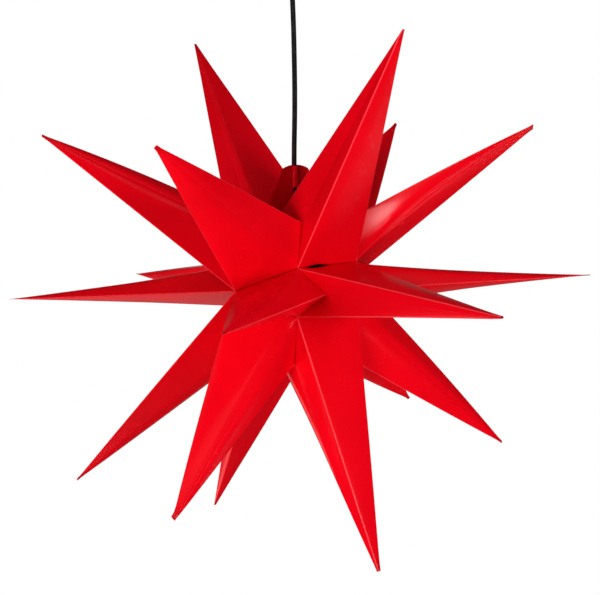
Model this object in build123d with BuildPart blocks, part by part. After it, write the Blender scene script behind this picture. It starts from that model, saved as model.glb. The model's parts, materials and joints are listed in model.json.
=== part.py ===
# Folding star pendant: six gores of thin sheet round a level axis, a lamp inside and a ceiling fitting above.
# Millimetres, +Z up. The origin is the centre of the bracket's top face, on the ceiling.
import os
from math import acos, asin, cos, degrees, radians, sin, sqrt, tan

from build123d import *

os.makedirs("parts", exist_ok=True)

# Star of sheet
STAR_DROP = 330.0  # ceiling down to the star's centre
EQUATOR_REACH = 294.0  # centre to the tip of an equator point
SLANT_REACH = 290.0  # centre to the tip of a north or south point
VALLEY_RADIUS = 48.0  # level axis to the valley between two gores
VALLEY_HALF = 31.0  # half the length of a valley's straight bottom
POLE_HALF = 76.0  # centre to each pole, where six points meet
SADDLE_OUT = 39.5  # valley chord up the equator flank to a slanted point's outer ridge
SHEET = 0.8  # sheet of the leaves
GORE_ANGLES = (0.5, 55.5, 124.5, 184.0, 242.0, 294.0)  # each gore about the level axis, from +X to +Z
NORTH_LEANS = (40.0, 39.0, 39.0, 40.0, 44.5, 43.5)  # each north point, from the level axis
SOUTH_LEANS = (40.0, 39.0, 39.0, 40.0, 39.0, 43.0)  # each south point, from the level axis
TOP_VALLEY = 1  # the valley that the cord comes out of, after this gore
SLIT_HALF_LENGTH = 19.0  # lens-shaped slit where two leaves part in a valley
SLIT_HALF_WIDTH = 1.2

# Closure tabs at the top valley
TAB_SHEET = 1.2
TAB_TOP = 119.0  # star's centre up to the tongue's top
TAB_CROWN_RADIUS = 33.0  # round top of the tongue
TAB_CROWN_HALF = 16.0  # half the width of that round top
TAB_SHOULDER_HALF = 32.0  # half the width at the shoulders, where the slanting sides end
TAB_SHOULDER_HEIGHT = 82.0
TAB_BACK_SPREAD = 3.5  # how much further out the back tongue's shoulders are
FOOT_GAP = 0.05
CHANNEL_LENGTH = 22.0  # half-round cord channel, down from the tongue's top
CHANNEL_LIP = 0.6  # tongue's rim down to the channel's upper end
CHANNEL_CLEARANCE = 0.2
SLOT_CLEARANCE = 0.7
ARCH_HEIGHT = 54.0  # star's centre up to the middle of the arch that sits on the holder's cap
SEAT_GAP = 0.3
STUD_SPACING = 48.0  # press studs that hold the tabs together
STUD_HEIGHT = 66.0
STUD_HEAD_RADIUS = 5.0
STUD_HEAD = 1.6
STUD_SHANK_RADIUS = 1.9
STUD_CLEARANCE = 0.1

# Cord
CORD_RADIUS = 2.5
SWING = 15.0  # degrees that the cord's way out of the grip is open for

# Lampholder, hung on the cord inside the star
CAP_RADIUS = 15.7
CAP_WALL = 2.0
CAP_SKIRT = 12.0  # straight length below the cap's dome
BOSS_RADIUS = 7.0  # cord grip inside the cap
BOSS_DEPTH = 10.0
GRIP_SCREW_RADIUS = 1.5
CORD_TAIL = 1.0  # cord left standing out below the boss
FIT = 0.1  # gap all round where one piece of the lamp sits in another
SPIGOT_HEIGHT = 6.0
SPIGOT_WALL = 1.6
BODY_HEIGHT = 32.0
LEDGE_DEPTH = 11.0  # cap's lower edge down to the ledge that carries the screw shell
SHELL_LENGTH = 18.0
SHELL_WALL = 0.5
SHELL_SPACE = 1.3  # free room round the screw shell
THREAD_CLEARANCE = 0.3
INSERT_HEIGHT = 13.0
POCKET_RADIUS = 6.0
POCKET_DEPTH = 4.0
CONTACT_SHEET = 0.5
CONTACT_WIDTH = 4.0
CONTACT_HALF = 4.5
CONTACT_GAP = 0.1
TERMINAL_SIZE = 5.0
TERMINAL_SPACING = 15.0
SEAL_HEIGHT = 2.0

# Lamp with a screw base
BASE_RADIUS = 6.9
BASE_LENGTH = 17.0
BASE_WALL = 0.4
TIP_RADIUS = 4.0
TIP_HEIGHT = 1.5
TIP_REACH = 1.5  # how far the tip stands into the insert's pocket
INSULATOR_HEIGHT = 3.0
NECK_RADIUS = 8.0
NECK_LENGTH = 3.5
NECK_CLEARANCE = 0.2
HOUSING_HEIGHT = 22.0
HOUSING_WALL = 1.4
GLOBE_RADIUS = 21.0
GLOBE_DROP = 6.0  # housing's rim down to the globe's middle
GLOBE_WALL = 1.2
BOARD_SHEET = 1.5
BOARD_INSET = 0.5  # rim up to the board's lower face
BOARD_GAP = 0.15
CHIP_SIDE = 2.8
CHIP_HEIGHT = 0.8
CHIP_CIRCLE = 11.0
CHIP_COUNT = 8
DRIVER_WIDTH = 10.0
DRIVER_SHEET = 1.2
DRIVER_HEIGHT = 16.0
CAPACITOR_RADIUS = 3.0
CAPACITOR_HEIGHT = 9.0

# Ceiling fitting
CANOPY_RADIUS = 45.0
CANOPY_HEIGHT = 30.0
CANOPY_WALL = 1.2
CANOPY_ROUND = 6.0
BRACKET_SHEET = 2.0
BRACKET_WIDTH = 22.0
BRACKET_GAP = 0.5  # ear to the canopy's wall
EAR_WIDTH = 16.0
EAR_HEIGHT = 14.0
SCREW_HOLE_SPACING = 60.0
SCREW_HOLE_RADIUS = 2.25
CANOPY_SCREW_RADIUS = 1.6
CANOPY_SCREW_DEPTH = 9.0  # ceiling down to the canopy's side screws
CANOPY_SCREW_HEAD_RADIUS = 4.0
CANOPY_SCREW_HEAD = 3.0
SCREW_CLEARANCE = 0.05
NIPPLE_RADIUS = 5.0
NIPPLE_RISE = 8.0  # canopy's floor up to the nipple's top
NIPPLE_TAIL = 14.0  # canopy's floor down to the nipple's mouth
NIPPLE_COLLAR = 4.0
COLLAR_RADIUS = 8.5
NUT_HEIGHT = 4.5
BUSH_WALL = 1.1
BUSH_FLANGE_RADIUS = 5.5
BUSH_FLANGE = 1.5
RUNNING_GAP = 0.05
END_GAP = 0.1
PIVOT_DEPTH = 4.0  # nipple's mouth up to the point that the cord swings about
MOUTH_CLEARANCE = 0.6
STUB_RISE = 2.0  # cord standing out above the bush
BLOCK_LENGTH = 18.0
BLOCK_WIDTH = 16.0
BLOCK_HEIGHT = 12.0
BLOCK_START = 6.0  # middle of the fitting to the terminal block
TUBE_RADIUS = 2.6
TUBE_BORE = 1.5
TUBE_INSET = 2.0
POLE_SPACING = 8.0
CLAMP_SCREW_RADIUS = 1.8
CLAMP_SCREW_INSET = 5.0  # block's end to a clamp screw

# Leads
LEAD_RADIUS = 0.8
LEAD_SPREAD = 2.2  # between the two leads where they leave the cord
LEAD_ENTRY = 3.0  # length of lead inside a terminal
LEAD_GAP = 0.2
LEAD_BEND = 1.5


def save(part, name):
    part.label = name
    export_step(part, f"parts/{name}.step")


def level(height):
    return Plane.XY.offset(height - STAR_DROP)


CENTRE = Vector(0, 0, -STAR_DROP)
LEVEL_AXIS = Vector(0, 1, 0)
PROFILE = Plane(origin=CENTRE, x_dir=(1, 0, 0), z_dir=(0, -1, 0))
TONGUE = Plane(origin=CENTRE, x_dir=(0, 1, 0), z_dir=(1, 0, 0))
GORES = len(GORE_ANGLES)


def spoke(angle):
    return Vector(cos(radians(angle)), 0, sin(radians(angle)))


def half_gap(gore):
    """Half the angle from one gore to the next."""
    return (GORE_ANGLES[(gore + 1) % GORES] - GORE_ANGLES[gore]) % 360 / 2


def polyhedron(faces, share):
    """Closed solid on flat faces, drawn about the star's centre at a share of its size."""
    return Solid(Shell([Face(Wire.make_polygon([CENTRE + corner * share for corner in face])) for face in faces]))


def leaf_faces(gore, valley, toward):
    """Flat faces round the space behind one leaf, from its gore's middle plane to the valley beside it."""
    out = spoke(GORE_ANGLES[gore])
    beside = spoke(GORE_ANGLES[gore] + toward * half_gap(valley))
    gaps = half_gap(gore), half_gap((gore - 1) % GORES)
    chord_radius = VALLEY_RADIUS * cos(radians(sum(gaps) / 2)) / cos(radians((gaps[0] - gaps[1]) / 2))
    equator_tip = out * EQUATOR_REACH
    rims = []
    for pole, leans in ((-1, NORTH_LEANS), (1, SOUTH_LEANS)):
        lean = radians(leans[gore])
        chord = out * chord_radius + LEVEL_AXIS * (pole * VALLEY_HALF)
        rims.append(
            (
                LEVEL_AXIS * (pole * POLE_HALF),
                (out * sin(lean) + LEVEL_AXIS * (pole * cos(lean))) * SLANT_REACH,
                chord + (equator_tip - chord).normalized() * SADDLE_OUT,
                beside * VALLEY_RADIUS + LEVEL_AXIS * (pole * VALLEY_HALF),
            )
        )
    (pole_n, tip_n, saddle_n, valley_n), (pole_s, tip_s, saddle_s, valley_s) = rims
    panels = [
        (pole_n, tip_n, valley_n),
        (tip_n, saddle_n, valley_n),
        (saddle_n, equator_tip, valley_n),
        (equator_tip, valley_s, valley_n),
        (equator_tip, saddle_s, valley_s),
        (saddle_s, tip_s, valley_s),
        (tip_s, pole_s, valley_s),
    ]
    middle_plane = (pole_n, tip_n, saddle_n, equator_tip, saddle_s, tip_s, pole_s)
    valley_plane = (pole_n, valley_n, valley_s, pole_s)
    return [*panels, middle_plane, valley_plane]


# Two leaves to each gore, each from the gore's middle seam to the valley beside it
hollow_share = 1 - SHEET / VALLEY_HALF
hole_radius = CAP_RADIUS + SLOT_CLEARANCE
for gore in range(GORES):
    for letter, valley, toward in (("a", (gore - 1) % GORES, -1), ("b", gore, 1)):
        faces = leaf_faces(gore, valley, toward)
        outside = polyhedron(faces, 1)
        inside = polyhedron(faces, hollow_share)
        beside = spoke(GORE_ANGLES[gore] + toward * half_gap(valley))
        slit_floor = CENTRE + beside * (VALLEY_RADIUS / 2)
        with BuildPart() as leaf:
            add(outside)
            add(inside, mode=Mode.SUBTRACT)
            if valley == TOP_VALLEY:
                with BuildSketch(level(0)):
                    Circle(hole_radius)
                extrude(amount=EQUATOR_REACH, mode=Mode.SUBTRACT)
            else:
                with BuildSketch(Plane(origin=slit_floor, x_dir=LEVEL_AXIS, z_dir=beside)):
                    with BuildLine():
                        ThreePointArc((-SLIT_HALF_LENGTH, 0), (0, SLIT_HALF_WIDTH), (SLIT_HALF_LENGTH, 0))
                        ThreePointArc((SLIT_HALF_LENGTH, 0), (0, -SLIT_HALF_WIDTH), (-SLIT_HALF_LENGTH, 0))
                    make_face()
                extrude(amount=VALLEY_RADIUS, mode=Mode.SUBTRACT)
        save(leaf.part, f"gore_{gore + 1}_leaf_{letter}")

# Two tongues, face to face over the top valley, with a channel between them for the cord
top_tip = spoke(GORE_ANGLES[TOP_VALLEY]) * EQUATOR_REACH
flank_slope = (top_tip.Z - VALLEY_RADIUS) / top_tip.X
tab_foot = VALLEY_RADIUS + TAB_SHEET * flank_slope + FOOT_GAP
crown_middle = TAB_TOP - TAB_CROWN_RADIUS
crown_corner = crown_middle + sqrt(TAB_CROWN_RADIUS**2 - TAB_CROWN_HALF**2)
channel_radius = CORD_RADIUS + CHANNEL_CLEARANCE
channel_outside = channel_radius + TAB_SHEET
channel_rim = crown_middle + sqrt(TAB_CROWN_RADIUS**2 - channel_outside**2) - CHANNEL_LIP
channel_floor = TAB_TOP - CHANNEL_LENGTH
arch_radius = CAP_RADIUS + SEAT_GAP
slot_half = CORD_RADIUS + SLOT_CLEARANCE
for name, face, spread in (("closure_tab_front", 1, 0), ("closure_tab_back", -1, TAB_BACK_SPREAD)):
    shoulder_half = TAB_SHOULDER_HALF + spread
    with BuildPart() as tab:
        with BuildSketch(TONGUE):
            with BuildLine():
                crown = ThreePointArc((TAB_CROWN_HALF, crown_corner), (0, TAB_TOP), (-TAB_CROWN_HALF, crown_corner))
                Polyline(crown @ 1, (-shoulder_half, TAB_SHOULDER_HEIGHT), (-VALLEY_HALF, tab_foot),
                         (VALLEY_HALF, tab_foot), (shoulder_half, TAB_SHOULDER_HEIGHT), crown @ 0)
            make_face()
        extrude(amount=face * TAB_SHEET)
        with BuildSketch(level(channel_floor)):
            Circle(channel_outside)
        extrude(amount=channel_rim - channel_floor)
        with BuildSketch(level(channel_floor)):
            Circle(channel_radius)
        extrude(amount=CHANNEL_LENGTH + TAB_SHEET, mode=Mode.SUBTRACT)
        with BuildSketch(TONGUE):
            with Locations((0, (ARCH_HEIGHT + channel_floor) / 2)):
                Rectangle(2 * slot_half, channel_floor - ARCH_HEIGHT)
            with Locations((0, ARCH_HEIGHT)):
                Circle(arch_radius)
                Rectangle(2 * arch_radius, ARCH_HEIGHT, align=(Align.CENTER, Align.MAX))
            with Locations((0, STUD_HEIGHT)):
                with GridLocations(STUD_SPACING, 0, 2, 1):
                    Circle(STUD_SHANK_RADIUS + STUD_CLEARANCE)
        extrude(amount=TAB_SHEET, both=True, mode=Mode.SUBTRACT)
        split(bisect_by=TONGUE, keep=Keep.TOP if face > 0 else Keep.BOTTOM)
    save(tab.part, name)

with BuildPart() as tab_stud_caps:
    with BuildSketch(TONGUE.offset(TAB_SHEET)):
        with Locations((0, STUD_HEIGHT)):
            with GridLocations(STUD_SPACING, 0, 2, 1):
                Circle(STUD_HEAD_RADIUS)
    extrude(amount=STUD_HEAD)
    with BuildSketch(TONGUE.offset(TAB_SHEET)):
        with Locations((0, STUD_HEIGHT)):
            with GridLocations(STUD_SPACING, 0, 2, 1):
                Circle(STUD_SHANK_RADIUS)
    extrude(amount=-2 * TAB_SHEET)
    fillet(tab_stud_caps.edges().group_by(Axis.X)[-1], STUD_HEAD / 2)
save(tab_stud_caps.part, "tab_stud_caps")

with BuildPart() as tab_stud_sockets:
    with BuildSketch(TONGUE.offset(-TAB_SHEET)):
        with Locations((0, STUD_HEIGHT)):
            with GridLocations(STUD_SPACING, 0, 2, 1):
                Circle(STUD_HEAD_RADIUS)
    extrude(amount=-STUD_HEAD)
    fillet(tab_stud_sockets.edges().group_by(Axis.X)[0], STUD_HEAD / 2)
save(tab_stud_sockets.part, "tab_stud_sockets")

# Lampholder: cap, body, insert and contacts, all turned about the cord's line
cap_inside = CAP_RADIUS - CAP_WALL
cap_bottom = ARCH_HEIGHT - CAP_SKIRT
cap_top = ARCH_HEIGHT + CAP_RADIUS
boss_bottom = cap_top - BOSS_DEPTH
boss_angle = degrees(acos(BOSS_RADIUS / cap_inside))
grip_height = boss_bottom + 2 * GRIP_SCREW_RADIUS
cord_bore = CORD_RADIUS + RUNNING_GAP
cord_end = boss_bottom - CORD_TAIL
with BuildPart() as holder_cap:
    with BuildSketch(PROFILE):
        with BuildLine():
            dome = CenterArc((0, ARCH_HEIGHT), CAP_RADIUS, 0, 90)
            Polyline(dome @ 1, (0, cap_bottom), (CAP_RADIUS, cap_bottom), dome @ 0)
        make_face()
    revolve(axis=Axis.Z)
    with BuildSketch(PROFILE):
        with BuildLine():
            ceiling = CenterArc((0, ARCH_HEIGHT), cap_inside, 0, boss_angle)
            Polyline(ceiling @ 1, (BOSS_RADIUS, boss_bottom), (0, boss_bottom), (0, cap_bottom),
                     (cap_inside, cap_bottom), ceiling @ 0)
        make_face()
    revolve(axis=Axis.Z, mode=Mode.SUBTRACT)
    with BuildSketch(level(boss_bottom)):
        Circle(cord_bore)
    extrude(amount=BOSS_DEPTH, mode=Mode.SUBTRACT)
    with BuildSketch(TONGUE):
        with Locations((0, grip_height)):
            Circle(GRIP_SCREW_RADIUS + SCREW_CLEARANCE)
    extrude(amount=BOSS_RADIUS, mode=Mode.SUBTRACT)
save(holder_cap.part, "holder_cap")

with BuildPart() as cord_grip_screw:
    with BuildSketch(TONGUE.offset(cord_bore)):
        with Locations((0, grip_height)):
            Circle(GRIP_SCREW_RADIUS)
    extrude(amount=BOSS_RADIUS - cord_bore)
save(cord_grip_screw.part, "cord_grip_screw")

spigot_radius = cap_inside - FIT
spigot_top = cap_bottom + SPIGOT_HEIGHT
chamber_radius = spigot_radius - SPIGOT_WALL
shell_bore = BASE_RADIUS + THREAD_CLEARANCE
shell_outside = shell_bore + SHELL_WALL
mouth_bore = shell_outside + SHELL_SPACE
ledge = cap_bottom - LEDGE_DEPTH
body_bottom = cap_bottom - BODY_HEIGHT
with BuildPart() as holder_body:
    with BuildSketch(PROFILE):
        with BuildLine():
            Polyline((CAP_RADIUS, cap_bottom), (CAP_RADIUS, body_bottom), (mouth_bore, body_bottom),
                     (mouth_bore, ledge), (chamber_radius, ledge), (chamber_radius, spigot_top),
                     (spigot_radius, spigot_top), (spigot_radius, cap_bottom), close=True)
        make_face()
    revolve(axis=Axis.Z)
save(holder_body.part, "holder_body")

seat_radius = chamber_radius - FIT
flange_top = ledge + SHELL_WALL
with BuildPart() as screw_shell:
    with BuildSketch(PROFILE):
        with BuildLine():
            Polyline((shell_bore, flange_top), (seat_radius, flange_top), (seat_radius, ledge),
                     (shell_outside, ledge), (shell_outside, flange_top - SHELL_LENGTH),
                     (shell_bore, flange_top - SHELL_LENGTH), close=True)
        make_face()
    revolve(axis=Axis.Z)
save(screw_shell.part, "screw_shell")

insert_top = flange_top + INSERT_HEIGHT
pocket_top = flange_top + POCKET_DEPTH
lamp_top = flange_top + TIP_REACH
with BuildPart() as holder_insert:
    with BuildSketch(level(flange_top)):
        Circle(seat_radius)
    extrude(amount=INSERT_HEIGHT)
    with BuildSketch(level(flange_top)):
        Circle(POCKET_RADIUS)
    extrude(amount=POCKET_DEPTH, mode=Mode.SUBTRACT)
save(holder_insert.part, "holder_insert")

contact_height = pocket_top - lamp_top - CONTACT_GAP
with BuildPart() as centre_contact:
    with BuildSketch(PROFILE):
        with Locations((0, pocket_top)):
            Rectangle(2 * CONTACT_HALF, contact_height, align=(Align.CENTER, Align.MAX))
        with Locations((CONTACT_SHEET, pocket_top - CONTACT_SHEET)):
            Rectangle(2 * CONTACT_HALF, contact_height - 2 * CONTACT_SHEET, align=(Align.CENTER, Align.MAX),
                      mode=Mode.SUBTRACT)
    extrude(amount=CONTACT_WIDTH / 2, both=True)
save(centre_contact.part, "centre_contact")

terminal_top = insert_top + TERMINAL_SIZE
with BuildPart() as holder_terminals:
    with BuildSketch(level(insert_top)):
        with GridLocations(0, TERMINAL_SPACING, 1, 2):
            Rectangle(TERMINAL_SIZE, TERMINAL_SIZE)
    extrude(amount=TERMINAL_SIZE)
    with BuildSketch(level(terminal_top)):
        with GridLocations(0, TERMINAL_SPACING, 1, 2):
            Circle(LEAD_RADIUS + FIT)
    extrude(amount=-LEAD_ENTRY, mode=Mode.SUBTRACT)
save(holder_terminals.part, "holder_terminals")

lead_bend_height = (cord_end + terminal_top) / 2
for name, side in (("holder_lead_live", 1), ("holder_lead_neutral", -1)):
    start = CENTRE + Vector(0, side * LEAD_SPREAD / 2, cord_end)
    finish = CENTRE + Vector(0, side * TERMINAL_SPACING / 2, terminal_top - LEAD_ENTRY)
    high = CENTRE + Vector(0, side * LEAD_SPREAD / 2, lead_bend_height + 2 * LEAD_BEND)
    low = CENTRE + Vector(0, side * TERMINAL_SPACING / 2, lead_bend_height - LEAD_BEND)
    with BuildPart() as holder_lead:
        with BuildLine() as route:
            FilletPolyline(start, high, low, finish, radius=LEAD_BEND)
        with BuildSketch(Plane(origin=start, z_dir=route.line % 0)):
            Circle(LEAD_RADIUS)
        sweep()
    save(holder_lead.part, name)

with BuildPart() as seal_ring:
    with BuildSketch(level(body_bottom)):
        Circle(mouth_bore)
        Circle(NECK_RADIUS + NECK_CLEARANCE, mode=Mode.SUBTRACT)
    extrude(amount=SEAL_HEIGHT)
save(seal_ring.part, "seal_ring")

# Lamp: screw base, housing with its boards, and a frosted globe
tip_bottom = lamp_top - TIP_HEIGHT
insulator_bottom = tip_bottom - INSULATOR_HEIGHT
base_bottom = insulator_bottom - BASE_LENGTH
neck_bottom = base_bottom - NECK_LENGTH
housing_rim = base_bottom - HOUSING_HEIGHT
globe_middle = housing_rim - GLOBE_DROP
with BuildPart() as lamp_tip:
    with BuildSketch(level(tip_bottom)):
        Circle(TIP_RADIUS)
    extrude(amount=TIP_HEIGHT)
    fillet(lamp_tip.edges().sort_by(Axis.Z)[-1], TIP_HEIGHT / 2)
save(lamp_tip.part, "lamp_tip")

with BuildPart() as lamp_insulator:
    with BuildSketch(PROFILE):
        with BuildLine():
            Polyline((0, insulator_bottom), (BASE_RADIUS, insulator_bottom), (TIP_RADIUS, tip_bottom),
                     (0, tip_bottom), close=True)
        make_face()
    revolve(axis=Axis.Z)
save(lamp_insulator.part, "lamp_insulator")

with BuildPart() as lamp_base:
    with BuildSketch(level(base_bottom)):
        Circle(BASE_RADIUS)
        Circle(BASE_RADIUS - BASE_WALL, mode=Mode.SUBTRACT)
    extrude(amount=BASE_LENGTH)
save(lamp_base.part, "lamp_base")

rim_radius = sqrt(GLOBE_RADIUS**2 - GLOBE_DROP**2)
neck_inside = NECK_RADIUS - HOUSING_WALL
rim_inside = rim_radius - HOUSING_WALL
with BuildPart() as lamp_housing:
    with BuildSketch(PROFILE):
        with BuildLine():
            Polyline((NECK_RADIUS, base_bottom), (NECK_RADIUS, neck_bottom), (rim_radius, housing_rim),
                     (rim_inside, housing_rim), (neck_inside, neck_bottom), (neck_inside, base_bottom), close=True)
        make_face()
    revolve(axis=Axis.Z)
save(lamp_housing.part, "lamp_housing")

globe_inside = GLOBE_RADIUS - GLOBE_WALL
with BuildPart() as lamp_globe:
    with BuildSketch(PROFILE):
        with BuildLine():
            skin = CenterArc((0, globe_middle), GLOBE_RADIUS, -90, 90 + degrees(asin(GLOBE_DROP / GLOBE_RADIUS)))
            lining = CenterArc((0, globe_middle), globe_inside, -90, 90 + degrees(asin(GLOBE_DROP / globe_inside)))
            Line(skin @ 0, lining @ 0)
            Line(skin @ 1, lining @ 1)
        make_face()
    revolve(axis=Axis.Z)
save(lamp_globe.part, "lamp_globe")

board_bottom = housing_rim + BOARD_INSET
board_top = board_bottom + BOARD_SHEET
flare = (rim_inside - neck_inside) / (neck_bottom - housing_rim)
board_radius = neck_inside + flare * (neck_bottom - board_top) - BOARD_GAP
with BuildPart() as led_board:
    with BuildSketch(level(board_bottom)):
        Circle(board_radius)
    extrude(amount=BOARD_SHEET)
save(led_board.part, "led_board")

with BuildPart() as led_chips:
    with BuildSketch(level(board_bottom)):
        with PolarLocations(CHIP_CIRCLE, CHIP_COUNT):
            Rectangle(CHIP_SIDE, CHIP_SIDE)
    extrude(amount=-CHIP_HEIGHT)
save(led_chips.part, "led_chips")

with BuildPart() as driver_board:
    with BuildSketch(level(board_top)):
        Rectangle(DRIVER_WIDTH, DRIVER_SHEET)
    extrude(amount=DRIVER_HEIGHT)
save(driver_board.part, "driver_board")

with BuildPart() as driver_capacitor:
    with BuildSketch(level(board_top)):
        with Locations((0, DRIVER_SHEET / 2 + CAPACITOR_RADIUS)):
            Circle(CAPACITOR_RADIUS)
    extrude(amount=CAPACITOR_HEIGHT)
save(driver_capacitor.part, "driver_capacitor")

# Ceiling fitting: bracket, canopy and the grip that the cord hangs from
canopy_inside = CANOPY_RADIUS - CANOPY_WALL
ear_face = sqrt((canopy_inside - BRACKET_GAP) ** 2 - (BRACKET_WIDTH / 2) ** 2)
with BuildPart() as ceiling_bracket:
    with BuildSketch(Plane.XY):
        Rectangle(2 * ear_face, BRACKET_WIDTH)
        with GridLocations(SCREW_HOLE_SPACING, 0, 2, 1):
            Circle(SCREW_HOLE_RADIUS, mode=Mode.SUBTRACT)
    extrude(amount=-BRACKET_SHEET)
    with BuildSketch(Plane.XY):
        with GridLocations(2 * ear_face - BRACKET_SHEET, 0, 2, 1):
            Rectangle(BRACKET_SHEET, EAR_WIDTH)
    extrude(amount=-EAR_HEIGHT)
    with BuildSketch(Plane.YZ):
        with Locations((0, -CANOPY_SCREW_DEPTH)):
            Circle(CANOPY_SCREW_RADIUS + SCREW_CLEARANCE)
    extrude(amount=CANOPY_RADIUS, both=True, mode=Mode.SUBTRACT)
save(ceiling_bracket.part, "ceiling_bracket")

with BuildPart() as canopy:
    with BuildSketch(Plane.XY):
        Circle(CANOPY_RADIUS)
    extrude(amount=-CANOPY_HEIGHT)
    fillet(canopy.edges().sort_by(Axis.Z)[0], CANOPY_ROUND)
    offset(amount=-CANOPY_WALL, openings=canopy.faces().sort_by(Axis.Z)[-1])
    with BuildSketch(Plane.XY.offset(-CANOPY_HEIGHT)):
        Circle(NIPPLE_RADIUS + SCREW_CLEARANCE)
    extrude(amount=CANOPY_WALL, mode=Mode.SUBTRACT)
    with BuildSketch(Plane.YZ):
        with Locations((0, -CANOPY_SCREW_DEPTH)):
            Circle(CANOPY_SCREW_RADIUS + SCREW_CLEARANCE)
    extrude(amount=CANOPY_RADIUS, both=True, mode=Mode.SUBTRACT)
save(canopy.part, "canopy")

shank_start = ear_face - BRACKET_SHEET
with BuildPart() as canopy_screws:
    with BuildSketch(Plane.YZ.offset(shank_start)):
        with Locations((0, -CANOPY_SCREW_DEPTH)):
            Circle(CANOPY_SCREW_RADIUS)
    extrude(amount=CANOPY_RADIUS - shank_start)
    with BuildSketch(Plane.YZ.offset(CANOPY_RADIUS)):
        with Locations((0, -CANOPY_SCREW_DEPTH)):
            Circle(CANOPY_SCREW_HEAD_RADIUS)
    extrude(amount=CANOPY_SCREW_HEAD)
    fillet(canopy_screws.edges().sort_by(Axis.X)[-1], CANOPY_SCREW_HEAD / 3)
    mirror(about=Plane.YZ)
save(canopy_screws.part, "canopy_screws")

nipple_top = NIPPLE_RISE - CANOPY_HEIGHT
nipple_mouth = -CANOPY_HEIGHT - NIPPLE_TAIL
pivot = nipple_mouth + PIVOT_DEPTH
bush_radius = CORD_RADIUS + BUSH_WALL
nipple_bore = bush_radius + RUNNING_GAP
mouth_radius = CORD_RADIUS / cos(radians(SWING)) + PIVOT_DEPTH * tan(radians(SWING)) + MOUTH_CLEARANCE
with BuildPart() as grip_nipple:
    with BuildSketch(Plane.XZ):
        with BuildLine():
            Polyline((nipple_bore, nipple_top), (NIPPLE_RADIUS, nipple_top), (NIPPLE_RADIUS, nipple_mouth),
                     (mouth_radius, nipple_mouth), (nipple_bore, pivot), close=True)
        make_face()
    revolve(axis=Axis.Z)
    with BuildSketch(Plane.XY.offset(-CANOPY_HEIGHT)):
        RegularPolygon(COLLAR_RADIUS, 6)
        Circle(NIPPLE_RADIUS, mode=Mode.SUBTRACT)
    extrude(amount=-NIPPLE_COLLAR)
save(grip_nipple.part, "grip_nipple")

with BuildPart() as grip_nut:
    with BuildSketch(Plane.XY.offset(CANOPY_WALL - CANOPY_HEIGHT)):
        RegularPolygon(COLLAR_RADIUS, 6)
        Circle(NIPPLE_RADIUS + SCREW_CLEARANCE, mode=Mode.SUBTRACT)
    extrude(amount=NUT_HEIGHT)
save(grip_nut.part, "grip_nut")

stub_bottom = pivot + CORD_RADIUS + END_GAP
flange_bottom = nipple_top + END_GAP
bush_top = flange_bottom + BUSH_FLANGE
stub_top = bush_top + STUB_RISE
with BuildPart() as cord_bush:
    with BuildSketch(Plane.XZ):
        with BuildLine():
            Polyline((cord_bore, stub_bottom), (bush_radius, stub_bottom), (bush_radius, flange_bottom),
                     (BUSH_FLANGE_RADIUS, flange_bottom), (BUSH_FLANGE_RADIUS, bush_top), (cord_bore, bush_top),
                     close=True)
        make_face()
    revolve(axis=Axis.Z)
save(cord_bush.part, "cord_bush")

with BuildPart() as cord_stub:
    with BuildSketch(Plane.XY.offset(stub_bottom)):
        Circle(CORD_RADIUS)
    extrude(amount=stub_top - stub_bottom)
save(cord_stub.part, "cord_stub")

# The free cord hangs straight, and its round upper end turns in the grip's mouth
with BuildPart() as cord:
    with BuildSketch(Plane.XZ):
        with BuildLine():
            crown = CenterArc((0, pivot), CORD_RADIUS, 0, 90)
            Polyline(crown @ 1, (0, cord_end - STAR_DROP), (CORD_RADIUS, cord_end - STAR_DROP), crown @ 0)
        make_face()
    revolve(axis=Axis.Z)
save(cord.part, "cord")

block_middle = BLOCK_START + BLOCK_LENGTH / 2
block_bottom = -BRACKET_SHEET - BLOCK_HEIGHT
tube_height = block_bottom + BLOCK_HEIGHT / 2
clamp_row = BLOCK_LENGTH - 2 * CLAMP_SCREW_INSET
with BuildPart() as terminal_block:
    with BuildSketch(Plane.XY.offset(-BRACKET_SHEET)):
        with Locations((block_middle, 0)):
            Rectangle(BLOCK_LENGTH, BLOCK_WIDTH)
    extrude(amount=-BLOCK_HEIGHT)
    with BuildSketch(Plane.YZ.offset(BLOCK_START)):
        with Locations((0, tube_height)):
            with GridLocations(POLE_SPACING, 0, 2, 1):
                Circle(TUBE_RADIUS + FIT)
    extrude(amount=BLOCK_LENGTH, mode=Mode.SUBTRACT)
    with BuildSketch(Plane.XY.offset(block_bottom)):
        with Locations((block_middle, 0)):
            with GridLocations(clamp_row, POLE_SPACING, 2, 2):
                Circle(CLAMP_SCREW_RADIUS + SCREW_CLEARANCE)
    extrude(amount=BLOCK_HEIGHT / 2, mode=Mode.SUBTRACT)
save(terminal_block.part, "terminal_block")

with BuildPart() as terminal_tubes:
    with BuildSketch(Plane.YZ.offset(BLOCK_START + TUBE_INSET)):
        with Locations((0, tube_height)):
            with GridLocations(POLE_SPACING, 0, 2, 1):
                Circle(TUBE_RADIUS)
                Circle(TUBE_BORE, mode=Mode.SUBTRACT)
    extrude(amount=BLOCK_LENGTH - 2 * TUBE_INSET)
save(terminal_tubes.part, "terminal_tubes")

with BuildPart() as terminal_screws:
    with BuildSketch(Plane.XY.offset(block_bottom)):
        with Locations((block_middle, 0)):
            with GridLocations(clamp_row, POLE_SPACING, 2, 2):
                Circle(CLAMP_SCREW_RADIUS)
    extrude(amount=BLOCK_HEIGHT / 2 - TUBE_RADIUS - FIT)
save(terminal_screws.part, "terminal_screws")

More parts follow.
